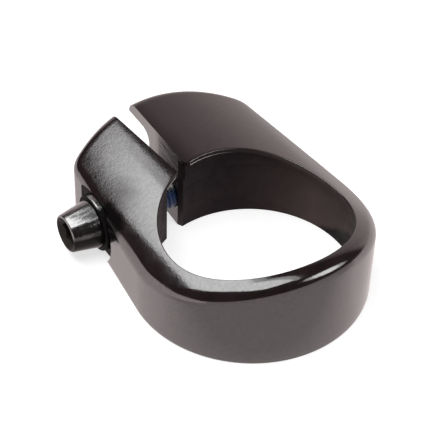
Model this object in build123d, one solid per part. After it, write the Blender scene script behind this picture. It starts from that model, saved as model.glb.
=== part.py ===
from build123d import *
from math import cos, radians, sin, tan
import os

# Seatpost clamp: a crowned ring with a hooded nose, split by one slot and drawn
# together by one bolt. The bore ends in a ledge for the seat tube, and a thin lip over it
# lets the seatpost through. Millimetres. The origin is on the bore axis at the height of
# the bolt, +Z up the seatpost, +X towards the nose, +Y towards the bolt's head.

# Ring and nose in plan
bore_diameter = 34.9          # fits round the seat tube
front_wall = 1.35             # ring's thickness opposite the nose
ring_shift = 1.6              # the outer round's centre, from the bore axis towards the nose
side_taper = 6.0              # degrees, each side wall towards the nose
nose_length = 18.85           # bore's wall to the nose's tip
nose_end_radius = 31.7
nose_corner_radius = 4.4

# Crowned top: a cylinder lying along the nose, tilted down towards it
ridge_height = 16.6           # top of the crown over the bottom face, at the bore axis
crown_radius = 34.5
crown_tilt = 3.2              # degrees
shoulder_radius = 2.4         # round between the crown and the side wall
foot_chamfer = 0.4            # at the bottom outer edge
bore_depth = 10.8             # bottom face to the ledge that stops the seat tube
ledge_width = 0.35
lip_diameter = 31.8           # seatpost's way through the lip
lip_thickness = 0.8

# Scoop under the nose, which leaves the hood
hood_thickness = 2.2
hood_edge_chamfer = 0.3
scoop_radius = 12.5
scoop_depth = 8.3             # nose's tip back to the scoop's deepest point
scoop_cove = 2.4              # round between the scoop's wall and the hood

# Slot, offset towards the bolt's head so that the tapped lug is the longer one
slot_offset = 5.05
slot_width_bore = 2.15
slot_width_nose = 4.0
mouth_depth = 0.55            # relief of the slot's corners under the lip, outside the bore
mouth_angle = 29.0            # degrees, each side

# Bolt: thread M5, tapered head with a hexagon socket
bolt_diameter = 5.0
bolt_length = 25.0
bolt_height = 5.0             # bolt's axis over the bottom face
bolt_wall = 0.85              # between the bore and the bolt
bolt_tip_chamfer = 0.6
head_base_diameter = 8.5
head_end_diameter = 6.6
head_length = 5.2
head_edge_chamfer = 0.25
socket_flats = 4.0
socket_depth = 3.0
socket_mouth_diameter = 5.6

# Washer and the flat seat cut for it into the side wall
washer_diameter = 10.0
washer_thickness = 1.0
washer_gap = 0.1              # radial, washer's hole round the bolt
seat_depth = 0.6              # into the side wall, at the bolt's axis
seat_gap = 1.0                # radial, seat round the washer

# Holes for the bolt
clearance_gap = 0.25          # radial, in the near lug
thread_gap = 0.05             # radial, in the tapped lug
tapped_spare = 3.0            # hole past the bolt's tip
drill_point_angle = 118.0     # degrees

base = -bolt_height           # height of the bottom face
below = base - 1              # start of the cuts made from below
bore_radius = bore_diameter / 2
ring_radius = bore_radius + front_wall + ring_shift
nose_reach = bore_radius + nose_length
bolt_radius = bolt_diameter / 2
bolt_axis_x = bore_radius + bolt_wall + bolt_radius
far = 2 * (nose_reach + ring_radius)      # longer than the clamp in any direction
upright = (Align.CENTER, Align.CENTER, Align.MIN)

# The side wall leaves the ring at a tangent and runs to the nose
side_x = ring_shift + ring_radius * sin(radians(side_taper))
side_y = ring_radius * cos(radians(side_taper))


def side_wall(x):
    """The side wall's distance from the middle plane, at a place along the nose."""
    return side_y - (x - side_x) * tan(radians(side_taper))


seat_y = side_wall(bolt_axis_x) - seat_depth
head_seat_y = seat_y + washer_thickness
bolt_tip_y = head_seat_y - bolt_length


def bolt_plane(y):
    """The plane across the bolt's axis at a place along it, facing the head."""
    return Plane((bolt_axis_x, y, 0), x_dir=(1, 0, 0), z_dir=(0, 1, 0))


def along_bolt(radius, y_from, y_to):
    """A cylinder on the bolt's axis between two places along it."""
    return extrude(bolt_plane(y_from) * Circle(radius), y_to - y_from)


def crown(depth):
    """Everything under the crowned top, lowered by a depth."""
    middle = Plane((0, 0, base + ridge_height - crown_radius)).rotated((0, 90 + crown_tilt, 0))
    return middle * Cylinder(crown_radius - depth, far)


def plan_outline():
    """The ring with its tapered nose, seen from above."""
    end_y = side_wall(nose_reach)
    wedge = make_face(Polyline(
        (side_x, -side_y), (nose_reach, -end_y), (nose_reach, end_y), (side_x, side_y), close=True))
    nose = wedge & Pos(nose_reach - nose_end_radius, 0) * Circle(nose_end_radius)
    nose = fillet(nose.vertices().sort_by(Axis.X)[-2:], nose_corner_radius)
    return nose + Pos(ring_shift, 0) * Circle(ring_radius)


def blank():
    """The solid form before it is bored and cut: crowned, with a round shoulder."""
    body = extrude(Pos(0, 0, base) * plan_outline(), far) & crown(0)
    body = chamfer(body.faces().sort_by(Axis.Z)[0].edges(), foot_chamfer)
    return fillet(body.faces().sort_by(Axis.Z)[-1].edges(), shoulder_radius)


def scoop():
    """The round recess under the nose, with a cove where it meets the hood."""
    centre_x = nose_reach - scoop_depth + scoop_radius
    column = extrude(Pos(centre_x, 0, below) * Circle(scoop_radius), far)
    space = column & crown(hood_thickness)
    return fillet(space.faces().sort_by(Axis.Z)[-1].edges(), scoop_cove)


def slot_half(x):
    """Half of the slot's width, at a place along the nose."""
    slope = (slot_width_nose - slot_width_bore) / 2 / nose_length
    return slot_width_bore / 2 + slope * (x - bore_radius)


def slot_wedge(x, half_at_axis, half_out):
    """A wedge in plan along the slot, from the bore's axis out to a place along the nose."""
    return Pos(0, slot_offset) * make_face(Polyline(
        (0, -half_at_axis), (x, -half_out), (x, half_out), (0, half_at_axis), close=True))


def bore():
    """The seat tube's bore up to its ledge, and the room above it, flared at the slot, under the lip."""
    mouth_x = bore_radius + mouth_depth
    half_mouth = slot_half(mouth_x)
    flare = slot_wedge(mouth_x, half_mouth + mouth_x * tan(radians(mouth_angle)), half_mouth)
    room = Circle(bore_radius - ledge_width) + flare
    room = extrude(Pos(0, 0, below) * room, far) & crown(lip_thickness)
    tube = Pos(0, 0, base) * Cylinder(bore_radius, bore_depth, align=upright)
    return room + tube + Cylinder(lip_diameter / 2, far)


def slot():
    """The V-shaped cut from the bore out through the nose."""
    return extrude(Pos(0, 0, -far / 2) * slot_wedge(far, slot_half(0), slot_half(far)), far)


def tapped_hole():
    """The blind hole in the far lug, ended by a drill point."""
    radius = bolt_radius + thread_gap
    end_y = bolt_tip_y - tapped_spare
    point_length = radius / tan(radians(drill_point_angle / 2))
    point = bolt_plane(end_y - point_length) * Cone(0, radius, point_length, align=upright)
    return along_bolt(radius, end_y, slot_offset) + point


def collar():
    body = blank() - scoop()
    body = chamfer(body.edges().sort_by(Axis.X)[-1], hood_edge_chamfer)
    body = body - bore() - slot() - tapped_hole()
    body = body - along_bolt(bolt_radius + clearance_gap, slot_offset, far)
    return body - along_bolt(washer_diameter / 2 + seat_gap, seat_y, far)


def clamp_bolt():
    """Shank and tapered head turned in one, with a hexagon socket."""
    shank = along_bolt(bolt_radius, bolt_tip_y, head_seat_y)
    shank = chamfer(shank.edges().group_by(Axis.Y)[0], bolt_tip_chamfer)
    head = bolt_plane(head_seat_y) * Cone(
        head_base_diameter / 2, head_end_diameter / 2, head_length, align=upright)
    head = chamfer(head.edges().filter_by(GeomType.CIRCLE), head_edge_chamfer)
    end = bolt_plane(head_seat_y + head_length)
    hexagon = RegularPolygon(socket_flats / 2, 6, major_radius=False)
    socket = extrude(end * hexagon, -socket_depth)
    mouth_length = (socket_mouth_diameter - socket_flats) / 2
    mouth = end * Pos(0, 0, -mouth_length) * Cone(
        socket_flats / 2, socket_mouth_diameter / 2, mouth_length, align=upright)
    return shank + head - socket - mouth


def bolt_washer():
    disc = along_bolt(washer_diameter / 2, seat_y, head_seat_y)
    return disc - along_bolt(bolt_radius + washer_gap, seat_y, head_seat_y)


os.makedirs("parts", exist_ok=True)
export_step(collar(), "parts/collar.step")
export_step(clamp_bolt(), "parts/clamp_bolt.step")
export_step(bolt_washer(), "parts/bolt_washer.step")
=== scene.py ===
import math
import bmesh
import bpy
import numpy as np
from mathutils import Matrix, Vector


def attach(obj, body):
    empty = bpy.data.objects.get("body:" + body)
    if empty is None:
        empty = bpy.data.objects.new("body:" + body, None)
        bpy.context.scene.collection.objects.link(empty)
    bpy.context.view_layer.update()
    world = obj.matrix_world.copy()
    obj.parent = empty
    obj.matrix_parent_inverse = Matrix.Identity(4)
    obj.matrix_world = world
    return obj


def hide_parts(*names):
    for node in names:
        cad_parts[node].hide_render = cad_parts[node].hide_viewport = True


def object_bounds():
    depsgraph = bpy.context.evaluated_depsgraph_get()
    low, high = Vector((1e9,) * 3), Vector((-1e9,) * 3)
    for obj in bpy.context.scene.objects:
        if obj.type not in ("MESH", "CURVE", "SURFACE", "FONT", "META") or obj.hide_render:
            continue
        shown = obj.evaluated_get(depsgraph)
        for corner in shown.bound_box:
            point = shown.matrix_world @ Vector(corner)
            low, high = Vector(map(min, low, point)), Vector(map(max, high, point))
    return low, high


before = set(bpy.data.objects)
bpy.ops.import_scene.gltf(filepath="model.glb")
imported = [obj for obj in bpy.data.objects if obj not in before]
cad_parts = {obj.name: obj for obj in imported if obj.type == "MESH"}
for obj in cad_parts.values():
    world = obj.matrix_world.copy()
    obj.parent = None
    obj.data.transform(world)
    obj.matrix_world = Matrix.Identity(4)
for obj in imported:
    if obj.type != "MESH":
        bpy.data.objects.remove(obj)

mm = 0.001
boltX = 20.8  # the bolt's axis, which all three pieces share
cadBox = [list(corner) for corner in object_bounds()]
scene = bpy.context.scene
print("frame loaded:", sorted(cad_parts))


# small helpers for materials; a noise is (scale, detail), a bump is (strength, distance in m)

noiseSpan = (0.3, 0.7)  # where most of a noise's values lie


def addNode(tree, kind, **settings):
    node = tree.nodes.new(kind)
    for name, value in settings.items():
        if name in node.inputs:
            node.inputs[name].default_value = value
        else:
            setattr(node, name, value)
    return node


def feed(tree, socket, value):
    # another node's output, a colour or a number
    if isinstance(value, bpy.types.NodeSocket):
        tree.links.new(value, socket)
    elif isinstance(value, tuple):
        socket.default_value = (*value, 1.0)
    else:
        socket.default_value = value


def emptyTree(owner):
    owner.use_nodes = True
    owner.node_tree.nodes.clear()
    return owner.node_tree


def newMaterial(name):
    material = bpy.data.materials.new(name)
    tree = emptyTree(material)
    out = addNode(tree, "ShaderNodeOutputMaterial")
    skin = addNode(tree, "ShaderNodeBsdfPrincipled")
    tree.links.new(skin.outputs["BSDF"], out.inputs["Surface"])
    return material, tree, skin


def objectPoint(tree):
    return addNode(tree, "ShaderNodeTexCoord").outputs["Object"]


def objectAxes(tree):
    axes = addNode(tree, "ShaderNodeSeparateXYZ")
    tree.links.new(objectPoint(tree), axes.inputs["Vector"])
    return axes.outputs["X"], axes.outputs["Y"], axes.outputs["Z"]


def objectNoise(tree, scale, detail, stretch=(1.0, 1.0, 1.0)):
    mapping = addNode(tree, "ShaderNodeMapping", Scale=stretch)
    noise = addNode(tree, "ShaderNodeTexNoise", Scale=scale, Detail=detail)
    tree.links.new(objectPoint(tree), mapping.inputs["Vector"])
    tree.links.new(mapping.outputs["Vector"], noise.inputs["Vector"])
    return noise.outputs["Fac"]


def rangeOf(tree, value, fromMin, fromMax, toMin=0.0, toMax=1.0):
    node = addNode(tree, "ShaderNodeMapRange")
    ends = {"From Min": fromMin, "From Max": fromMax, "To Min": toMin, "To Max": toMax}
    for name, number in ends.items():
        node.inputs[name].default_value = number
    tree.links.new(value, node.inputs["Value"])
    return node.outputs["Result"]


def rangeMm(tree, value, fromMin, fromMax, toMin=0.0, toMax=1.0):
    return rangeOf(tree, value, fromMin * mm, fromMax * mm, toMin, toMax)


def noiseRange(tree, noise, toMin=0.0, toMax=1.0):
    return rangeOf(tree, objectNoise(tree, *noise), *noiseSpan, toMin, toMax)


def raggedBy(tree, noise, reach):
    # unevenness for a stain's edge, this many mm either way
    return rangeOf(tree, objectNoise(tree, *noise), 0.0, 1.0, -reach * mm, reach * mm)


def colourMix(tree, factor, first, second):
    node = addNode(tree, "ShaderNodeMix", data_type="RGBA")
    feed(tree, node.inputs["Factor"], factor)
    feed(tree, node.inputs[6], first)  # the two colour sockets
    feed(tree, node.inputs[7], second)
    return node.outputs[2]


def numberMix(tree, factor, first, second):
    node = addNode(tree, "ShaderNodeMix", data_type="FLOAT")
    feed(tree, node.inputs["Factor"], factor)
    feed(tree, node.inputs[2], first)  # the two number sockets
    feed(tree, node.inputs[3], second)
    return node.outputs[0]


def maths(tree, operation, *values):
    node = addNode(tree, "ShaderNodeMath", operation=operation)
    for socket, value in zip(node.inputs, values):
        feed(tree, socket, value)
    return node.outputs[0]


def vectorMaths(tree, operation, vector, other=None):
    node = addNode(tree, "ShaderNodeVectorMath", operation=operation)
    tree.links.new(vector, node.inputs[0])
    if other is not None:
        node.inputs[1].default_value = other
    return node.outputs["Value"]


def bumpFrom(tree, height, strength, distance, under=None):
    node = addNode(tree, "ShaderNodeBump", Strength=strength, Distance=distance)
    tree.links.new(height, node.inputs["Height"])
    if under is not None:
        tree.links.new(under, node.inputs["Normal"])
    return node.outputs["Normal"]


# bare metal where the mesh says that the paint is worn through, which along the lip's edge is also a painted
# highlight
bareAndHighlightLook = {"colour": (0.80, 0.78, 0.75), "metallic": 0.4, "roughness": 0.34, "wornAndHighlit": (0.30, 0.55)}


def wearAndHighlightOf(tree):
    return addNode(tree, "ShaderNodeAttribute", attribute_name="wearAndHighlight").outputs["Fac"]


def coat(tree, skin, paint, bareAndHighlit):
    tree.links.new(colourMix(tree, bareAndHighlit, paint, bareAndHighlightLook["colour"]), skin.inputs["Base Color"])
    tree.links.new(maths(tree, "MULTIPLY", bareAndHighlit, bareAndHighlightLook["metallic"]), skin.inputs["Metallic"])


# black gloss paint over a cast skin, places and sizes in mm
paintLook = {
    "dark": (0.012, 0.0065, 0.007), "light": (0.021, 0.012, 0.013), "cloudNoise": (260.0, 4.0),
    "roughness": (0.09, 0.13), "roughNoise": (700.0, 3.0), "ior": (2.24, 2.44), "iorNoise": (1900.0, 3.0),
    "mottleNoise": (520.0, 3.0), "mottle": (0.010, 0.0006),
    "pebbleNoise": (2600.0, 2.0), "pebble": (0.022, 0.0003),
    "chipNoise": (1500.0, 3.0), "chips": (0.38, 0.58, 0.35, 1.0),
    "headShade": (0.006, 0.005, 0.005), "iorHeadShade": 1.2,
    "headShadeAt": (15.3, 18.6, 4.4), "headShadeSize": (4.6, 2.4, 3.0), "headShadeFade": (0.75, 1.10),
    "iorDull": 1.85, "dullAt": (18.0, 15.0, 7.0), "dullSize": (5.0, 3.5, 3.5), "dullFade": (0.20, 1.10),
    "blotNoise": (500.0, 3.0), "blotRagged": 0.15,
    "sawNoise": (900.0, 4.0), "sawStretch": (0.12, 1.0, 2.4), "saw": (0.25, 0.0003), "sawnTo": (24.8, 26.6),
    "iorSlot": 3.0, "iorSawn": 1.45,
}


def blot(tree, at, size, full, none):
    # a soft, ragged spot round a place
    spread = [1 / (length * mm) for length in size]
    move = [-place * mm * by for place, by in zip(at, spread)]
    mapping = addNode(tree, "ShaderNodeMapping", Scale=spread, Location=move)
    tree.links.new(objectPoint(tree), mapping.inputs["Vector"])
    off = vectorMaths(tree, "LENGTH", mapping.outputs["Vector"])
    ragged = noiseRange(tree, paintLook["blotNoise"], -paintLook["blotRagged"], paintLook["blotRagged"])
    return rangeOf(tree, maths(tree, "ADD", off, ragged), full, none, 1.0, 0.0)


def paintMaterial(name, sawn):
    material, tree, skin = newMaterial(name)
    look, link = paintLook, tree.links.new
    chips = rangeOf(tree, objectNoise(tree, *look["chipNoise"]), *look["chips"])
    # bare metal and a painted highlight where the mesh marks the lip's edge
    bareAndHighlit = rangeOf(tree, maths(tree, "MULTIPLY", wearAndHighlightOf(tree), chips), *bareAndHighlightLook["wornAndHighlit"])
    paint = colourMix(tree, noiseRange(tree, look["cloudNoise"]), look["dark"], look["light"])
    normal = bumpFrom(tree, objectNoise(tree, *look["mottleNoise"]), *look["mottle"])
    normal = bumpFrom(tree, objectNoise(tree, *look["pebbleNoise"]), *look["pebble"], normal)
    if sawn:
        # saw marks on the inner stretch of the slot's faces, where the paint is thinner too
        inner = rangeMm(tree, objectAxes(tree)[0], *look["sawnTo"], 1.0, 0.0)
        lines = maths(tree, "MULTIPLY", objectNoise(tree, *look["sawNoise"], look["sawStretch"]), inner)
        normal = bumpFrom(tree, lines, *look["saw"], normal)
        shine = numberMix(tree, inner, look["iorSlot"], look["iorSawn"])
    else:
        # a painted shade on the shoulder beside the bolt's head, darker and less shiny, for the head's shadow
        # and dark reflection there, and a duller place above it
        headShadeBlot = blot(tree, look["headShadeAt"], look["headShadeSize"], *look["headShadeFade"])
        dull = blot(tree, look["dullAt"], look["dullSize"], *look["dullFade"])
        paint = colourMix(tree, headShadeBlot, paint, look["headShade"])
        shine = numberMix(tree, dull, noiseRange(tree, look["iorNoise"], *look["ior"]), look["iorDull"])
        shine = numberMix(tree, headShadeBlot, shine, look["iorHeadShade"])
    coat(tree, skin, paint, bareAndHighlit)
    gloss = noiseRange(tree, look["roughNoise"], *look["roughness"])
    link(numberMix(tree, bareAndHighlit, gloss, bareAndHighlightLook["roughness"]), skin.inputs["Roughness"])
    link(shine, skin.inputs["IOR"])
    link(normal, skin.inputs["Normal"])
    return material


glossPaint = paintMaterial("glossPaint", False)
slotPaint = paintMaterial("slotPaint", True)

# duller surfaces: the bore, its flare at the slot, the washer's pocket, the bolt's socket; the pocket's
# darker paint is a painted shade
dullLook = {
    "cloudNoise": (330.0, 4.0), "roughNoise": (900.0, 3.0),
    "grainNoise": (2600.0, 2.0), "grain": (0.03, 0.0003),
}
# the bore is painted paler on the side away from the slot, a painted light, and painted black low down at the
# front, a painted shade; places in mm
boreLook = {
    "clouds": 0.12, "paintedShading": 0.88, "paintedShadingFront": 0.3, "slotSide": (7.0, 16.5), "frontSide": (-4.0, 6.0),
    "black": (0.003, 0.002, 0.002), "blackSlant": 0.55, "blackEdge": (-2.7, -1.5),
}


def dullMaterial(name, dark, light, roughness, level, paintedShading=False):
    material, tree, skin = newMaterial(name)
    link = tree.links.new
    shade = noiseRange(tree, dullLook["cloudNoise"], 0.0, boreLook["clouds"] if paintedShading else 1.0)
    if paintedShading:
        x, _, z = objectAxes(tree)
        # painted light: paler on the side away from the slot, less so towards the front
        atSlot = rangeMm(tree, x, *boreLook["slotSide"], boreLook["paintedShading"], 0.0)
        atFront = rangeMm(tree, x, *boreLook["frontSide"], boreLook["paintedShadingFront"], boreLook["paintedShading"])
        shade = maths(tree, "ADD", shade, maths(tree, "MINIMUM", atSlot, atFront))
    paint = colourMix(tree, shade, dark, light)
    if paintedShading:
        # painted shade: black low down at the front of the bore
        height = maths(tree, "ADD", z, maths(tree, "MULTIPLY", x, boreLook["blackSlant"]))
        paint = colourMix(tree, rangeMm(tree, height, *boreLook["blackEdge"]), boreLook["black"], paint)
    coat(tree, skin, paint, rangeOf(tree, wearAndHighlightOf(tree), *bareAndHighlightLook["wornAndHighlit"]))
    link(noiseRange(tree, dullLook["roughNoise"], *roughness), skin.inputs["Roughness"])
    skin.inputs["Specular IOR Level"].default_value = level
    grain = objectNoise(tree, *dullLook["grainNoise"])
    link(bumpFrom(tree, grain, *dullLook["grain"]), skin.inputs["Normal"])
    return material


borePaint = dullMaterial("borePaint", (0.014, 0.009, 0.011), (0.130, 0.094, 0.090), (0.45, 0.60), 0.08, True)
flarePaint = dullMaterial("flarePaint", (0.026, 0.018, 0.019), (0.044, 0.032, 0.034), (0.40, 0.55), 0.25)
# the pocket's paint is darker than the rest, a painted shade in the recess
pocketShadePaint = dullMaterial("pocketShadePaint", (0.007, 0.005, 0.005), (0.012, 0.009, 0.009), (0.45, 0.60), 0.06)
socketBlack = dullMaterial("socketBlack", (0.012, 0.009, 0.007), (0.026, 0.020, 0.016), (0.40, 0.60), 0.25)

# blackened bolt, with a blue thread-lock patch on its thread, places in mm
boltLook = {
    "dark": (0.006, 0.0052, 0.005), "light": (0.014, 0.012, 0.0115), "cloudNoise": (420.0, 4.0),
    "roughness": (0.10, 0.20), "roughNoise": (1100.0, 3.0),
    "grainNoise": (2600.0, 2.0), "grain": (0.06, 0.0003),
    "streakNoise": (900.0, 3.0), "streakStretch": (1.0, 0.25, 1.0), "streaks": (0.35, 0.65),
    "ior": (1.8, 4.4), "iorShadedUnder": 1.2, "under": (0.6, 2.0),
    "patch": (0.012, 0.06, 0.20), "patchFrom": -1.5, "patchTo": 8.5, "patchTop": 1.7, "patchFade": 0.3,
    "patchRoughness": 0.5, "iorPatch": 2.0, "raggedNoise": (900.0, 3.0), "ragged": 1.2, "raggedTop": 0.3,
}


def boltMaterial(look):
    material, tree, skin = newMaterial("boltBlack")
    link = tree.links.new
    _, y, z = objectAxes(tree)
    ragged = raggedBy(tree, look["raggedNoise"], look["ragged"])
    along = maths(tree, "ADD", y, ragged)
    height = maths(tree, "ADD", z, maths(tree, "MULTIPLY", ragged, look["raggedTop"]))
    start = rangeMm(tree, along, look["patchFrom"], look["patchFrom"] + look["patchFade"])
    end = rangeMm(tree, along, look["patchTo"], look["patchTo"] + look["patchFade"], 1.0, 0.0)
    lower = rangeMm(tree, height, look["patchTop"], look["patchTop"] + look["patchFade"], 1.0, 0.0)
    patch = maths(tree, "MULTIPLY", maths(tree, "MULTIPLY", start, end), lower)
    black = colourMix(tree, noiseRange(tree, look["cloudNoise"]), look["dark"], look["light"])
    link(colourMix(tree, patch, black, look["patch"]), skin.inputs["Base Color"])
    gloss = noiseRange(tree, look["roughNoise"], *look["roughness"])
    link(numberMix(tree, patch, gloss, look["patchRoughness"]), skin.inputs["Roughness"])
    # shine in streaks along the bolt, less of it underneath, a painted shade for the shadowed floor below the
    # head
    streaks = objectNoise(tree, *look["streakNoise"], look["streakStretch"])
    shine = rangeOf(tree, streaks, *look["streaks"], *look["ior"])
    shine = numberMix(tree, rangeMm(tree, z, *look["under"], 1.0, 0.0), shine, look["iorShadedUnder"])
    link(numberMix(tree, patch, shine, look["iorPatch"]), skin.inputs["IOR"])
    link(bumpFrom(tree, objectNoise(tree, *look["grainNoise"]), *look["grain"]), skin.inputs["Normal"])
    return material


boltBlack = boltMaterial(boltLook)

# zinc showing only along the top of the washer's edge, a painted highlight, the rest black, a painted shade
# in its pocket, places in mm
washerLook = {
    "zinc": (0.62, 0.62, 0.61), "dull": (0.34, 0.33, 0.32),
    "cloudNoise": (800.0, 4.0), "clouds": (0.35, 0.68), "roughness": (0.20, 0.34),
    "roughNoise": (1500.0, 2.0), "grainNoise": (2200.0, 3.0), "grain": (0.10, 0.0003),
    "black": (0.010, 0.009, 0.009), "blackRoughness": 0.6, "blackLevel": 0.06, "zincLevel": 0.5,
    "edge": (4.72, 4.82), "highlitFrom": (4.5, 4.9), "raggedNoise": (900.0, 3.0), "ragged": 0.4,
}


def washerMaterial(look):
    material, tree, skin = newMaterial("washerZinc")
    link = tree.links.new
    x, _, z = objectAxes(tree)
    across = maths(tree, "SUBTRACT", x, boltX * mm)
    squares = [maths(tree, "MULTIPLY", length, length) for length in (across, z)]
    around = maths(tree, "SQRT", maths(tree, "ADD", *squares))
    ragged = raggedBy(tree, look["raggedNoise"], look["ragged"])
    edge = rangeMm(tree, maths(tree, "ADD", around, ragged), *look["edge"])
    # painted highlight: the zinc shows only along the top of the edge; the black elsewhere is painted shade
    highlitTop = rangeMm(tree, maths(tree, "ADD", z, ragged), *look["highlitFrom"])
    zinc = maths(tree, "MULTIPLY", edge, highlitTop)
    cloud = rangeOf(tree, objectNoise(tree, *look["cloudNoise"]), *look["clouds"])
    metal = colourMix(tree, cloud, look["zinc"], look["dull"])
    link(colourMix(tree, zinc, look["black"], metal), skin.inputs["Base Color"])
    link(zinc, skin.inputs["Metallic"])
    gloss = noiseRange(tree, look["roughNoise"], *look["roughness"])
    link(numberMix(tree, zinc, look["blackRoughness"], gloss), skin.inputs["Roughness"])
    link(numberMix(tree, zinc, look["blackLevel"], look["zincLevel"]), skin.inputs["Specular IOR Level"])
    link(bumpFrom(tree, objectNoise(tree, *look["grainNoise"]), *look["grain"]), skin.inputs["Normal"])
    return material


washerZinc = washerMaterial(washerLook)
print("finishes made")


# helpers for meshes, all in mm until the piece is placed

mergeWithin = 1e-5


def meshPiece(name, points, faces, materials):
    mesh = bpy.data.meshes.new(name)
    mesh.from_pydata([tuple(p) for p in points], [], faces)
    for material in materials:
        mesh.materials.append(material)
    work = bmesh.new()
    work.from_mesh(mesh)
    bmesh.ops.remove_doubles(work, verts=work.verts, dist=mergeWithin)
    bmesh.ops.recalc_face_normals(work, faces=work.faces)
    work.to_mesh(mesh)
    work.free()
    piece = bpy.data.objects.new(name, mesh)
    scene.collection.objects.link(piece)
    return piece


def rowsToMesh(rows, closed):
    # rows of points joined by quads, with a cap at each end unless they close on themselves
    count = len(rows[0])
    faces = []
    for k in range(len(rows) if closed else len(rows) - 1):
        a, b = k * count, ((k + 1) % len(rows)) * count
        for i in range(count):
            j = (i + 1) % count
            faces.append((a + i, a + j, b + j, b + i))
    if not closed:
        faces.append(tuple(range(count)))
        faces.append(tuple(range((len(rows) - 1) * count, len(rows) * count)))
    return np.concatenate(rows), faces


def rowsPiece(name, rows, material, closed=False):
    return meshPiece(name, *rowsToMesh(rows, closed), [material])


def roundBolt(name, profile, material, count, closed=False):
    # (radius, y) pairs turned round the bolt's axis
    angle = np.linspace(0, 2 * math.pi, count, endpoint=False)
    rows = []
    for radius, y in profile:
        x = boltX + radius * np.cos(angle)
        rows.append(np.stack([x, np.full(count, y), radius * np.sin(angle)], 1))
    return rowsPiece(name, rows, material, closed)


def evaluatedMesh(piece):
    bpy.context.view_layer.update()
    return bpy.data.meshes.new_from_object(piece.evaluated_get(bpy.context.evaluated_depsgraph_get()))


def swapMesh(piece, mesh):
    old = piece.data
    piece.data = mesh
    bpy.data.meshes.remove(old)


def cutAway(piece, cutter):
    cut = piece.modifiers.new("cut", "BOOLEAN")
    cut.operation = "DIFFERENCE"
    cut.solver = "EXACT"
    cut.material_mode = "TRANSFER"
    cut.object = cutter
    mesh = evaluatedMesh(piece)
    piece.modifiers.remove(cut)
    swapMesh(piece, mesh)
    bpy.data.objects.remove(cutter)


def smoothBy(mesh, degrees):
    mesh.polygons.foreach_set("use_smooth", [True] * len(mesh.polygons))
    mesh.set_sharp_from_angle(angle=math.radians(degrees))


def place(piece):
    piece.data.transform(Matrix.Scale(mm, 4))
    piece.data.update()


def turn(first, second, share):
    # from one direction to another, along the arc between them
    angle = np.arccos(np.clip((first * second).sum(1), -1, 1))[:, None]
    return (np.sin((1 - share) * angle) * first + np.sin(share * angle) * second) / np.sin(angle)


def upright(flat, height):
    return np.column_stack([flat, np.broadcast_to(height, len(flat))])


def between(first, last, count):
    return [first + (last - first) * share for share in np.linspace(0, 1, count)[1:-1]]


def arc(centre, radius, fromDeg, toDeg, count):
    angle = np.radians(np.linspace(fromDeg, toDeg, count, endpoint=False))
    normal = np.stack([np.cos(angle), np.sin(angle)], 1)
    return np.array(centre) + radius * normal, normal


def straight(start, end, normal, count):
    share = np.linspace(0, 1, count, endpoint=False)[:, None]
    points = np.array(start) * (1 - share) + np.array(end) * share
    return points, np.tile(normal, (count, 1))


# collar: one section carried round the plan outline, then cut as the real one is
collarForm = {
    "boreRadius": 17.45, "boreDepth": 10.8, "ledge": 0.35, "lipRadius": 15.9, "lip": 0.8, "rimRound": 0.16,
    "base": -5.0, "footRound": 0.4,
    "ringShift": 1.6, "ringRadius": 20.4, "sideTaper": 6.0,
    "noseReach": 36.3, "noseEndRadius": 31.7, "noseCorner": 4.4,
    "ridge": 16.6, "crownRadius": 34.5, "crownTilt": 3.2, "shoulder": 2.4,
    "hood": 2.2, "scoopRadius": 12.5, "scoopDepth": 8.3, "cove": 2.4,
    "slotOffset": 5.05, "slotBore": 2.15, "slotNose": 4.0, "mouthDepth": 0.55, "mouthAngle": 29.0,
    "lipCorner": 1.0, "clearanceRadius": 2.75, "tappedRadius": 2.55, "tappedEnd": -9.11, "drillPoint": 1.53,
    "drillTip": 0.02, "seatRadius": 6.8, "seatY": 17.894, "smooth": 30,
    # how far the cutters reach
    "below": 3.0, "past": 40.0, "slotFrom": 8.0, "slotTo": 60.0, "slotLow": -20.0, "slotHigh": 30.0,
    "mouthFrom": 12.0, "roofRings": (16.5, 16.12, 15.3, 14.5), "scoopRoofTo": 0.98,
    "cornerFrom": 13.0, "cornerLow": 3.0, "cornerHigh": 15.0, "cornerLead": (0.7, 0.02),
    "cornerOut": (0.998, 0.95),
    # rows of the lip's wall, with its lower edge between them, and what counts as that wall
    "lipRows": (0.55, 1.1), "lipWithin": 0.02,
    # bare metal and painted highlight by the angle round the lip, and how near its lower edge
    "wornAndHighlitAngles": (-40, -10, 4, 9, 12, 18, 22, 44, 52),
    "wornAndHighlitShares": (0.0, 0.5, 0.8, 1.0, 1.0, 0.0, 1.0, 1.0, 0.0), "wornAndHighlitNear": (0.02, 0.03),
}

# points along each run of the collar
collarSteps = {
    "noseEnd": 110, "noseCorner": 28, "side": 70, "ring": 230, "bottom": 7, "foot": 5, "wall": 11,
    "shoulder": 15, "top": 34, "rim": 7, "room": 260, "mouth": 7, "mouthAcross": 15, "lipCorner": 14,
    "scoop": 220, "cove": 13, "scoopWall": 9, "scoopRoof": 24, "hole": 96,
}


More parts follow.
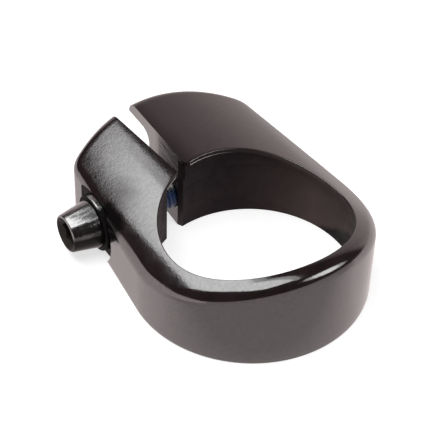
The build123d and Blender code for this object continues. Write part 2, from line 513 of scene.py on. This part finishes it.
def collarOutline(form):
    taper = math.radians(form["sideTaper"])
    outward = np.array([math.sin(taper), math.cos(taper)])
    forward = np.array([math.cos(taper), -math.sin(taper)])
    flip = np.array([1, -1])
    endCentre = np.array([form["noseReach"] - form["noseEndRadius"], 0.0])
    # the nose's corner touches the side wall and the nose's end
    reach = form["ringShift"] * outward[0] + form["ringRadius"] - form["noseCorner"]
    offset = outward * reach - endCentre
    along = offset @ forward
    spare = (form["noseEndRadius"] - form["noseCorner"]) ** 2 - offset @ offset
    corner = outward * reach + forward * (-along + math.sqrt(along * along + spare))
    endAngle = math.degrees(math.atan2(corner[1], corner[0] - endCentre[0]))
    sideAngle = 90 - form["sideTaper"]
    sideEnd = corner + form["noseCorner"] * outward
    sideStart = np.array([form["ringShift"], 0]) + form["ringRadius"] * outward
    steps = collarSteps
    runs = [
        arc(endCentre, form["noseEndRadius"], -endAngle, endAngle, steps["noseEnd"]),
        arc(corner, form["noseCorner"], endAngle, sideAngle, steps["noseCorner"]),
        straight(sideEnd, sideStart, outward, steps["side"]),
        arc((form["ringShift"], 0), form["ringRadius"], sideAngle, 360 - sideAngle, steps["ring"]),
        straight(sideStart * flip, sideEnd * flip, outward * flip, steps["side"]),
        arc(corner * flip, form["noseCorner"], -sideAngle, -endAngle, steps["noseCorner"]),
    ]
    return np.concatenate([r[0] for r in runs]), np.concatenate([r[1] for r in runs])


def crownHeight(form, flat, depth):
    tilt = math.radians(form["crownTilt"])
    radius = form["crownRadius"] - depth
    rise = np.sqrt(radius ** 2 - flat[:, 1] ** 2) - flat[:, 0] * math.sin(tilt)
    return form["base"] + form["ridge"] - form["crownRadius"] + rise / math.cos(tilt)


def crownNormal(form, flat, depth):
    tilt = math.radians(form["crownTilt"])
    radius = form["crownRadius"] - depth
    lift = np.sqrt(radius ** 2 - flat[:, 1] ** 2)
    return np.stack([math.sin(tilt) * lift, flat[:, 1], math.cos(tilt) * lift], 1) / radius


def underCrown(form, flat, depth):
    return upright(flat, crownHeight(form, flat, depth))


def shoulderRows(form, flat, normal, radius, depth, count):
    # a ball rolled along under the crown and inside the wall
    centre = flat - normal * radius
    ball = underCrown(form, centre, depth + radius)
    top = crownNormal(form, centre, depth + radius)
    side = upright(normal, 0.0)
    return [ball + radius * turn(side, top, share) for share in np.linspace(0, 1, count)]


def collarBlank(form):
    steps = collarSteps
    flat, normal = collarOutline(form)
    ray = flat / np.linalg.norm(flat, axis=1)[:, None]
    base, foot, rim = form["base"], form["footRound"], form["rimRound"]
    inner = upright(ray * form["lipRadius"], base)
    side = upright(normal, 0.0)
    down = np.tile([0.0, 0.0, -1.0], (len(flat), 1))
    footCentre = upright(flat - normal * foot, base + foot)
    footRows = [footCentre + foot * turn(down, side, share) for share in np.linspace(0, 1, steps["foot"])]
    shoulder = shoulderRows(form, flat, normal, form["shoulder"], 0.0, steps["shoulder"])
    rimFlat = ray * (form["lipRadius"] + rim)
    rimCentre = underCrown(form, rimFlat, rim)
    rimTop = crownNormal(form, rimFlat, rim)
    inward = -upright(ray, 0.0)
    rimRows = [rimCentre + rim * turn(rimTop, inward, share) for share in np.linspace(0, 1, steps["rim"])]
    rows = [inner, *between(inner, footRows[0], steps["bottom"]), *footRows]
    rows += [*between(footRows[-1], shoulder[0], steps["wall"]), *shoulder]
    for across in between(shoulder[-1][:, :2], rimRows[0][:, :2], steps["top"]):
        rows.append(underCrown(form, across, 0.0))
    rows += rimRows
    rows += [underCrown(form, inner[:, :2], depth) for depth in form["lipRows"]]
    blank = meshPiece("collar.blank", *rowsToMesh(rows, True), [glossPaint, slotPaint, borePaint])
    for face in blank.data.polygons:
        if math.hypot(face.center.x, face.center.y) < form["lipRadius"] + form["lipWithin"]:
            face.material_index = 2  # the lip's inner wall has the bore's paint
    return blank


def roomCutter(form):
    # straight up to the ledge, then narrower and roofed by the lip
    around = arc((0, 0), 1.0, 0, 360, collarSteps["room"])[1]
    base, ledge = form["base"], form["base"] + form["boreDepth"]
    wall = around * (form["boreRadius"] - form["ledge"])
    roof = crownHeight(form, wall, form["lip"])
    heights = (base - form["below"], base + form["below"], ledge)
    rows = [upright(around * form["boreRadius"], z) for z in heights]
    rows += [upright(wall, ledge + (roof - ledge) * share) for share in (0.0, 0.5, 1.0)]
    rows += [underCrown(form, around * radius, form["lip"]) for radius in form["roofRings"]]
    return rowsPiece("collar.room", rows, borePaint)


def slotSlope(form):
    return (form["slotNose"] - form["slotBore"]) / 2 / (form["noseReach"] - form["boreRadius"])


def slotHalf(form, x):
    return form["slotBore"] / 2 + slotSlope(form) * (x - form["boreRadius"])


def mouthCutter(form):
    # the flare of the slot's corners under the lip
    end = form["boreRadius"] + form["mouthDepth"]
    count = collarSteps["mouthAcross"]
    rows = []
    for x in np.linspace(form["mouthFrom"], end, collarSteps["mouth"]):
        half = slotHalf(form, end) + (end - x) * math.tan(math.radians(form["mouthAngle"]))
        flat = np.column_stack([np.full(count, x), form["slotOffset"] + np.linspace(-half, half, count)])
        floor = upright(flat[::-1], form["base"] - form["below"])
        rows.append(np.concatenate([underCrown(form, flat, form["lip"]), floor]))
    return rowsPiece("collar.mouth", rows, flarePaint)


def lipCornerCutter(form, side):
    # what rounds the lip's corner off in plan, on one side of the slot
    radius = form["lipCorner"]
    slope = math.atan(slotSlope(form))
    normal = np.array([-math.sin(slope), side * math.cos(slope)])
    ahead = np.array([math.cos(slope), side * math.sin(slope)])
    onSlot = np.array([0.0, form["slotOffset"] + side * slotHalf(form, 0.0)])
    middle = onSlot + normal * radius
    dot = middle @ ahead
    reach = -dot + math.sqrt(dot ** 2 - middle @ middle + (form["lipRadius"] + radius) ** 2)
    centre = middle + ahead * reach
    first = math.degrees(math.atan2(-normal[1], -normal[0]))
    last = math.degrees(math.atan2(-centre[1], -centre[0]))
    if side < 0:
        last += 360.0
    bend = arc(centre, radius, first, last, collarSteps["lipCorner"])[0]
    tip = centre - radius * centre / np.linalg.norm(centre)
    # led in from the slot and out into the bore, so that the corner is cut clean
    inSlot = [bend[0] - normal * lead for lead in form["cornerLead"]]
    inBore = [tip * share for share in form["cornerOut"]] + [(form["cornerFrom"], form["slotOffset"])]
    flat = np.concatenate([inSlot, bend[1:], inBore])
    rows = [upright(flat, z) for z in (form["cornerLow"], form["cornerHigh"])]
    return rowsPiece("collar.corner", rows, borePaint)


def scoopCutter(form):
    centre = np.array([form["noseReach"] - form["scoopDepth"] + form["scoopRadius"], 0.0])
    flat, normal = arc(centre, form["scoopRadius"], 0, 360, collarSteps["scoop"])
    cove = shoulderRows(form, flat, normal, form["cove"], form["hood"], collarSteps["cove"])
    low = upright(flat, form["base"] - form["below"])
    rows = [low, *between(low, cove[0], collarSteps["scoopWall"]), *cove]
    for share in np.linspace(0, form["scoopRoofTo"], collarSteps["scoopRoof"])[1:]:
        across = cove[-1][:, :2] + (centre - cove[-1][:, :2]) * share
        rows.append(underCrown(form, across, form["hood"]))
    return rowsPiece("collar.scoop", rows, glossPaint)


def slotCutter(form):
    near, far = form["slotFrom"], form["slotTo"]
    plan = [(near, -slotHalf(form, near)), (far, -slotHalf(form, far)), (far, slotHalf(form, far)),
            (near, slotHalf(form, near))]
    flat = np.array(plan) + np.array([0, form["slotOffset"]])
    rows = [upright(flat, z) for z in (form["slotLow"], form["slotHigh"])]
    return rowsPiece("collar.slot", rows, slotPaint)


def holeCutters(form):
    tapped, clear, seat = form["tappedRadius"], form["clearanceRadius"], form["seatRadius"]
    holes = (
        ("collar.tapped", slotPaint, [(form["drillTip"], form["tappedEnd"] - form["drillPoint"]),
                                      (tapped, form["tappedEnd"]), (tapped, form["slotOffset"])]),
        ("collar.clearance", slotPaint, [(clear, form["slotOffset"]), (clear, form["past"])]),
        ("collar.seat", pocketShadePaint, [(seat, form["seatY"]), (seat, form["past"])]),
    )
    for name, material, profile in holes:
        yield roundBolt(name, profile, material, collarSteps["hole"])


def wearAndHighlightOnEdges(form, mesh):
    # bare metal and a painted highlight along the lip's lower edge, on the far side and near the slot on the
    # other
    point = np.zeros(len(mesh.vertices) * 3)
    mesh.vertices.foreach_get("co", point)
    point = point.reshape(-1, 3)
    around = np.hypot(point[:, 0], point[:, 1])
    angle = np.degrees(np.arctan2(point[:, 1], point[:, 0]))
    depth = crownHeight(form, point[:, :2], 0.0) - point[:, 2]
    nearRim, nearLip = form["wornAndHighlitNear"]
    onEdge = (abs(around - form["lipRadius"]) < nearRim) & (abs(depth - form["lip"]) < nearLip)
    share = np.interp(angle, form["wornAndHighlitAngles"], form["wornAndHighlitShares"])
    attribute = mesh.attributes.new("wearAndHighlight", "FLOAT", "POINT")
    attribute.data.foreach_set("value", np.where(onEdge, share, 0.0))


def makeCollar(form):
    collar = collarBlank(form)
    collar.name = "collarShell"
    cutAway(collar, scoopCutter(form))
    cutAway(collar, roomCutter(form))
    for side in (-1, 1):
        cutAway(collar, lipCornerCutter(form, side))
    cutAway(collar, mouthCutter(form))
    cutAway(collar, slotCutter(form))
    for cutter in holeCutters(form):
        cutAway(collar, cutter)
    smoothBy(collar.data, form["smooth"])
    wearAndHighlightOnEdges(form, collar.data)
    place(collar)
    return collar


collarShell = makeCollar(collarForm)
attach(collarShell, "collar")
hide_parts("collar")
print("collar made:", len(collarShell.data.polygons), "faces")


# bolt: turned head with a hexagon socket, and a shank whose thread is a Geometry Nodes tree
boltForm = {
    "tip": -6.106, "seat": 18.894, "headLength": 5.2, "headBase": 4.25, "headEnd": 3.3, "headRound": 0.3,
    "flats": 4.0, "socketDepth": 3.0, "socketMouth": 2.95, "socketPast": 2.0, "mouthPast": 0.2,
    "major": 2.5, "threadDepth": 0.42, "pitch": 0.8, "flank": (0.12, 0.86),
    "neck": 2.0, "neckRadius": 2.3, "neckIntoShank": 0.3, "neckIntoHead": 0.2, "axis": 0.05,
    "headSteps": 128, "roundSteps": 6, "mouthSteps": 96, "shankSteps": 60, "pitchSteps": 14, "smooth": 35,
}


def roundedProfile(corners, radius, steps):
    # corners in a row, each inner one turned into a short arc
    out = [corners[0]]
    for before, here, after in zip(corners, corners[1:], corners[2:]):
        a, b, c = (np.array(p, float) for p in (before, here, after))
        cut = min(radius, 0.45 * np.linalg.norm(a - b), 0.45 * np.linalg.norm(c - b))
        start = b + (a - b) / np.linalg.norm(a - b) * cut
        end = b + (c - b) / np.linalg.norm(c - b) * cut
        for share in np.linspace(0, 1, steps):
            out.append(tuple((1 - share) ** 2 * start + 2 * share * (1 - share) * b + share ** 2 * end))
    return out + [corners[-1]]


def boltHead(form):
    seat, end, flat = form["seat"], form["seat"] + form["headLength"], form["flats"] / 2
    corners = [(form["axis"], seat), (form["headBase"], seat), (form["headEnd"], end), (form["axis"], end)]
    profile = roundedProfile(corners, form["headRound"], form["roundSteps"])
    head = roundBolt("bolt.head", profile, boltBlack, form["headSteps"])
    reach = flat / math.cos(math.radians(30))
    hexagon = [(reach, end - form["socketDepth"]), (reach, end + form["socketPast"])]
    cutAway(head, roundBolt("bolt.socket", hexagon, socketBlack, 6))
    wide, past = form["socketMouth"], form["mouthPast"]
    mouth = [(flat, end - (wide - flat)), (wide + past, end + past)]
    cutAway(head, roundBolt("bolt.mouth", mouth, socketBlack, form["mouthSteps"]))
    return head


threadSockets = {
    "Major Radius": "NodeSocketFloat", "Depth": "NodeSocketFloat", "Pitch": "NodeSocketFloat",
    "Length": "NodeSocketFloat", "Rings": "NodeSocketInt", "Spokes": "NodeSocketInt",
    "Finish": "NodeSocketMaterial",
}


def threadTree(form):
    tree = bpy.data.node_groups.new("rolledThread", "GeometryNodeTree")
    tree.is_modifier = True
    face = tree.interface
    inputs = {}
    for name, kind in threadSockets.items():
        inputs[name] = face.new_socket(name, in_out="INPUT", socket_type=kind).identifier
    face.new_socket("Geometry", in_out="OUTPUT", socket_type="NodeSocketGeometry")
    given = tree.nodes.new("NodeGroupInput").outputs
    out = tree.nodes.new("NodeGroupOutput")
    link = tree.links.new
    rod = addNode(tree, "GeometryNodeMeshCylinder", fill_type="NGON")
    for name, socket in (("Spokes", "Vertices"), ("Rings", "Side Segments"), ("Major Radius", "Radius"),
                         ("Length", "Depth")):
        link(given[name], rod.inputs[socket])
    here = addNode(tree, "ShaderNodeSeparateXYZ")
    link(addNode(tree, "GeometryNodeInputPosition").outputs["Position"], here.inputs["Vector"])
    x, y, z = here.outputs["X"], here.outputs["Y"], here.outputs["Z"]
    # how far each point is along its turn of the thread, and so how deep in the groove
    turns = maths(tree, "DIVIDE", maths(tree, "ARCTAN2", y, x), 2 * math.pi)
    phase = maths(tree, "FRACT", maths(tree, "SUBTRACT", maths(tree, "DIVIDE", z, given["Pitch"]), turns))
    flank = maths(tree, "MULTIPLY", maths(tree, "PINGPONG", phase, 0.5), 2.0)
    groove = rangeOf(tree, flank, *form["flank"])
    # run out to the root over the last pitch at each end
    half = maths(tree, "MULTIPLY", given["Length"], 0.5)
    toEnd = maths(tree, "SUBTRACT", half, maths(tree, "ABSOLUTE", z))
    runOut = maths(tree, "SUBTRACT", 1.0, maths(tree, "DIVIDE", toEnd, given["Pitch"]))
    sunk = maths(tree, "MULTIPLY", maths(tree, "MAXIMUM", groove, runOut), given["Depth"])
    scale = maths(tree, "SUBTRACT", 1.0, maths(tree, "DIVIDE", sunk, given["Major Radius"]))
    there = addNode(tree, "ShaderNodeCombineXYZ")
    link(maths(tree, "MULTIPLY", x, scale), there.inputs["X"])
    link(maths(tree, "MULTIPLY", y, scale), there.inputs["Y"])
    link(z, there.inputs["Z"])
    cut = addNode(tree, "GeometryNodeSetPosition")
    link(rod.outputs["Mesh"], cut.inputs["Geometry"])
    link(there.outputs["Vector"], cut.inputs["Position"])
    whole = addNode(tree, "GeometryNodeRealizeInstances")
    link(cut.outputs["Geometry"], whole.inputs["Geometry"])
    finish = addNode(tree, "GeometryNodeSetMaterial")
    link(whole.outputs["Geometry"], finish.inputs["Geometry"])
    link(given["Finish"], finish.inputs["Material"])
    link(finish.outputs["Geometry"], out.inputs["Geometry"])
    return tree, inputs


def threadedShank(form):
    length = form["seat"] - form["neck"] - form["tip"]
    tree, inputs = threadTree(form)
    shank = bpy.data.objects.new("bolt.shank", bpy.data.meshes.new("bolt.shank"))
    scene.collection.objects.link(shank)
    nodes = shank.modifiers.new("thread", "NODES")
    nodes.node_group = tree
    values = {
        "Major Radius": form["major"], "Depth": form["threadDepth"], "Pitch": form["pitch"], "Length": length,
        "Rings": int(length / form["pitch"] * form["pitchSteps"]), "Spokes": form["shankSteps"],
        "Finish": boltBlack,
    }
    for name, value in values.items():
        nodes[inputs[name]] = value
    mesh = evaluatedMesh(shank)
    shank.modifiers.remove(nodes)
    swapMesh(shank, mesh)
    middle = form["tip"] + length / 2
    mesh.transform(Matrix.Translation((boltX, middle, 0)) @ Matrix.Rotation(math.radians(-90), 4, "X"))
    return shank


def boltNeck(form):
    low = form["seat"] - form["neck"] - form["neckIntoShank"]
    high = form["seat"] + form["neckIntoHead"]
    axis, radius = form["axis"], form["neckRadius"]
    profile = [(axis, low), (radius, low), (radius, high), (axis, high)]
    return roundBolt("bolt.neck", profile, boltBlack, form["shankSteps"])


def joined(name, pieces):
    # one mesh with the first piece's finishes; the others take the first of them
    work = bmesh.new()
    for piece in pieces:
        if piece is not pieces[0]:
            piece.data.polygons.foreach_set("material_index", [0] * len(piece.data.polygons))
        work.from_mesh(piece.data)
    mesh = bpy.data.meshes.new(name)
    for material in pieces[0].data.materials:
        mesh.materials.append(material)
    work.to_mesh(mesh)
    work.free()
    for piece in pieces:
        bpy.data.objects.remove(piece)
    whole = bpy.data.objects.new(name, mesh)
    scene.collection.objects.link(whole)
    return whole


def makeBolt(form):
    bolt = joined("clampBolt", [boltHead(form), threadedShank(form), boltNeck(form)])
    smoothBy(bolt.data, form["smooth"])
    place(bolt)
    return bolt


clampBolt = makeBolt(boltForm)
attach(clampBolt, "bolt")
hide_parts("clamp_bolt")
print("bolt made:", len(clampBolt.data.polygons), "faces")


# washer: a stamped ring with rounded edges; the play lets the head turn clear of it
washerForm = {
    "seat": 17.894, "thickness": 1.0, "play": 0.02, "inner": 2.6, "outer": 5.0, "edge": 0.22,
    "steps": 128, "edgeSteps": 5, "smooth": 50,
}


def makeWasher(form):
    low, high = form["seat"], form["seat"] + form["thickness"] - form["play"]
    corners = [(form["inner"], low), (form["outer"], low), (form["outer"], high), (form["inner"], high)]
    ring = roundedProfile([corners[-1]] + corners + [corners[0]], form["edge"], form["edgeSteps"])[1:-1]
    washer = roundBolt("boltWasher", ring, washerZinc, form["steps"], True)
    smoothBy(washer.data, form["smooth"])
    place(washer)
    return washer


boltWasher = makeWasher(washerForm)
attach(boltWasher, "washer")
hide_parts("bolt_washer")
print("washer made")


# stage: white floor, a card for the gloss, a dim room and soft lamps, in m (the card in mm)
stageForm = {
    "floorSize": 3.0, "floorGap": 0.00002, "floorColour": (0.78, 0.78, 0.78), "floorGlow": 0.68,
    "mirrored": (1.0, 0.89, 0.885), "frontward": (-0.906, 0.423, 0.0),
    "mirroredFront": 0.58, "frontFrom": (0.010, 0.022), "mirroredFar": 0.72, "farFrom": (0.06, 0.30),
    "card": ((-20, -5), (58, -5), (58, 38), (40, 34), (12, 17), (-20, 5)), "cardY": 60.0, "cardGlow": 1.0,
    "roomLight": 0.15, "roomDim": 0.03,
    "sweepTowards": (0.71, -0.70, 0.0), "sweepWidth": (0.62, 0.78), "sweepTop": 0.92,
    "sweepLight": 0.70, "sweepColour": (1.0, 0.84, 0.84),
}


def stagePiece(name, points, material):
    mesh = bpy.data.meshes.new(name)
    mesh.from_pydata(points, [], [tuple(range(len(points)))])
    mesh.materials.append(material)
    piece = bpy.data.objects.new(name, mesh)
    scene.collection.objects.link(piece)
    return piece


def makeFloor(form):
    material = bpy.data.materials.new("floorPaper")
    tree = emptyTree(material)
    link = tree.links.new
    out = addNode(tree, "ShaderNodeOutputMaterial")
    path = addNode(tree, "ShaderNodeLightPath")
    glow = addNode(tree, "ShaderNodeEmission")
    link(maths(tree, "MULTIPLY", path.outputs["Is Camera Ray"], form["floorGlow"]), glow.inputs["Strength"])
    paper = addNode(tree, "ShaderNodeBsdfDiffuse", Color=(*form["floorColour"], 1.0))
    both = addNode(tree, "ShaderNodeAddShader")
    link(glow.outputs["Emission"], both.inputs[0])
    link(paper.outputs["BSDF"], both.inputs[1])
    # what the gloss shows of it: dimmer towards the front and far off
    point = objectPoint(tree)
    ahead = vectorMaths(tree, "DOT_PRODUCT", point, form["frontward"])
    off = vectorMaths(tree, "LENGTH", point)
    front = rangeOf(tree, ahead, *form["frontFrom"], 1.0, form["mirroredFront"])
    away = rangeOf(tree, off, *form["farFrom"], 1.0, form["mirroredFar"])
    mirrored = addNode(tree, "ShaderNodeEmission", Color=(*form["mirrored"], 1.0))
    link(maths(tree, "MULTIPLY", front, away), mirrored.inputs["Strength"])
    seen = addNode(tree, "ShaderNodeMixShader")
    link(path.outputs["Is Glossy Ray"], seen.inputs["Fac"])
    link(both.outputs["Shader"], seen.inputs[1])
    link(mirrored.outputs["Emission"], seen.inputs[2])
    link(seen.outputs["Shader"], out.inputs["Surface"])
    half, height = form["floorSize"] / 2, cadBox[0][2] - form["floorGap"]
    corners = ((-half, -half), (half, -half), (half, half), (-half, half))
    floor = stagePiece("floor", [(x, y, height) for x, y in corners], material)


def makeCard(form):
    # a white card to the left, out of the picture, for the gloss to show
    material = bpy.data.materials.new("cardPaper")
    tree = emptyTree(material)
    glow = addNode(tree, "ShaderNodeEmission", Strength=form["cardGlow"], Color=(*form["mirrored"], 1.0))
    tree.links.new(glow.outputs["Emission"], addNode(tree, "ShaderNodeOutputMaterial").inputs["Surface"])
    card = stagePiece("card", [(x * mm, form["cardY"] * mm, z * mm) for x, z in form["card"]], material)
    card.visible_camera = card.visible_diffuse = card.visible_shadow = card.visible_transmission = False


def makeRoom(form):
    # white to the camera, dim to the gloss but for a paler sweep low on one side
    world = bpy.data.worlds.new("room")
    scene.world = world
    tree = emptyTree(world)
    link = tree.links.new
    out = addNode(tree, "ShaderNodeOutputWorld")
    path = addNode(tree, "ShaderNodeLightPath").outputs
    towards = addNode(tree, "ShaderNodeTexCoord").outputs["Generated"]
    facing = vectorMaths(tree, "DOT_PRODUCT", towards, form["sweepTowards"])
    axes = addNode(tree, "ShaderNodeSeparateXYZ")
    link(towards, axes.inputs["Vector"])
    low = rangeOf(tree, axes.outputs["Z"], 0.0, form["sweepTop"], form["sweepLight"], 0.0)
    beside = rangeOf(tree, facing, *form["sweepWidth"])
    sweep = maths(tree, "MAXIMUM", maths(tree, "MULTIPLY", low, beside), form["roomDim"])
    mirrored = maths(tree, "MAXIMUM", path["Is Glossy Ray"], path["Is Transmission Ray"])
    strength = numberMix(tree, mirrored, form["roomLight"], sweep)
    light = addNode(tree, "ShaderNodeBackground")
    link(colourMix(tree, mirrored, (1.0, 1.0, 1.0), form["sweepColour"]), light.inputs["Color"])
    link(numberMix(tree, path["Is Camera Ray"], strength, 1.0), light.inputs["Strength"])
    link(light.outputs["Background"], out.inputs["Surface"])


# places and sizes in m, brightness as a share of white paper; the first four make one light overhead
lamps = {
    "softboxOver": {"place": (0.16, 0.165, 0.5), "aim": (0.16, 0.165, 0.0), "size": (0.78, 0.29),
                    "bright": 2.9},
    "softboxBack": {"place": (0.155, 0.3275, 0.5), "aim": (0.155, 0.3275, 0.0), "size": (0.53, 0.035),
                    "bright": 2.9},
    "softboxFade": {"place": (0.13, -0.015, 0.5), "aim": (0.13, -0.015, 0.0), "size": (0.84, 0.07),
                    "bright": 1.2},
    "softboxEnd": {"place": (0.5775, 0.1325, 0.5), "aim": (0.5775, 0.1325, 0.0), "size": (0.055, 0.365),
                   "bright": 2.2},
    "softboxFront": {"place": (-0.416, -0.302, 0.309), "aim": (0.0, 0.0, 0.0), "size": (0.36, 0.22),
                     "bright": 1.6, "shape": "ELLIPSE", "roll": -25.0},
    "softboxHalo": {"place": (-0.420, -0.305, 0.312), "aim": (0.0, 0.0, 0.0), "size": (0.60, 0.26),
                    "bright": 1.1, "shape": "ELLIPSE", "roll": -25.0},
}


def aimed(where, right, up, back):
    # a lamp or camera looks along its own -Z
    return Matrix.Translation(where) @ Matrix([[right[i], up[i], back[i]] for i in range(3)]).to_4x4()


def makeLamp(name, look):
    light = bpy.data.lights.new(name, "AREA")
    light.shape = look.get("shape", "RECTANGLE")
    light.size, light.size_y = look["size"]
    light.energy = look["bright"] * math.pi * light.size * light.size_y
    lamp = bpy.data.objects.new(name, light)
    scene.collection.objects.link(lamp)
    away = np.array(look["place"]) - np.array(look["aim"])
    away /= np.linalg.norm(away)
    across = np.cross((0.0, 0.0, 1.0), away)
    length = np.linalg.norm(across)
    across = across / length if length > 0.01 else np.array((1.0, 0.0, 0.0))  # straight down
    roll = Matrix.Rotation(math.radians(look.get("roll", 0.0)), 4, "Z")
    lamp.matrix_world = aimed(look["place"], across, np.cross(away, across), away) @ roll


makeFloor(stageForm)
makeCard(stageForm)
makeRoom(stageForm)
for lampName, lampLook in lamps.items():
    makeLamp(lampName, lampLook)
print("stage set")


# camera, fitted to the photograph's edges, its place in mm
cameraForm = {
    "place": (-150.3713, 106.7635, 178.6952), "right": (-0.529174, -0.848141, 0.025127),
    "up": (0.584084, -0.342623, 0.735837), "back": (-0.615484, 0.404062, 0.676693),
    "lens": 130.317, "sensor": 36.0, "clip": (0.01, 20.0),
}


def makeCamera(form):
    data = bpy.data.cameras.new("photoCamera")
    data.sensor_width = form["sensor"]
    data.lens = form["lens"]
    data.clip_start, data.clip_end = form["clip"]
    camera = bpy.data.objects.new("photoCamera", data)
    scene.collection.objects.link(camera)
    where = [v * mm for v in form["place"]]
    camera.matrix_world = aimed(where, form["right"], form["up"], form["back"])
    scene.camera = camera


makeCamera(cameraForm)
scene.view_settings.view_transform = "Standard"
print("camera set")
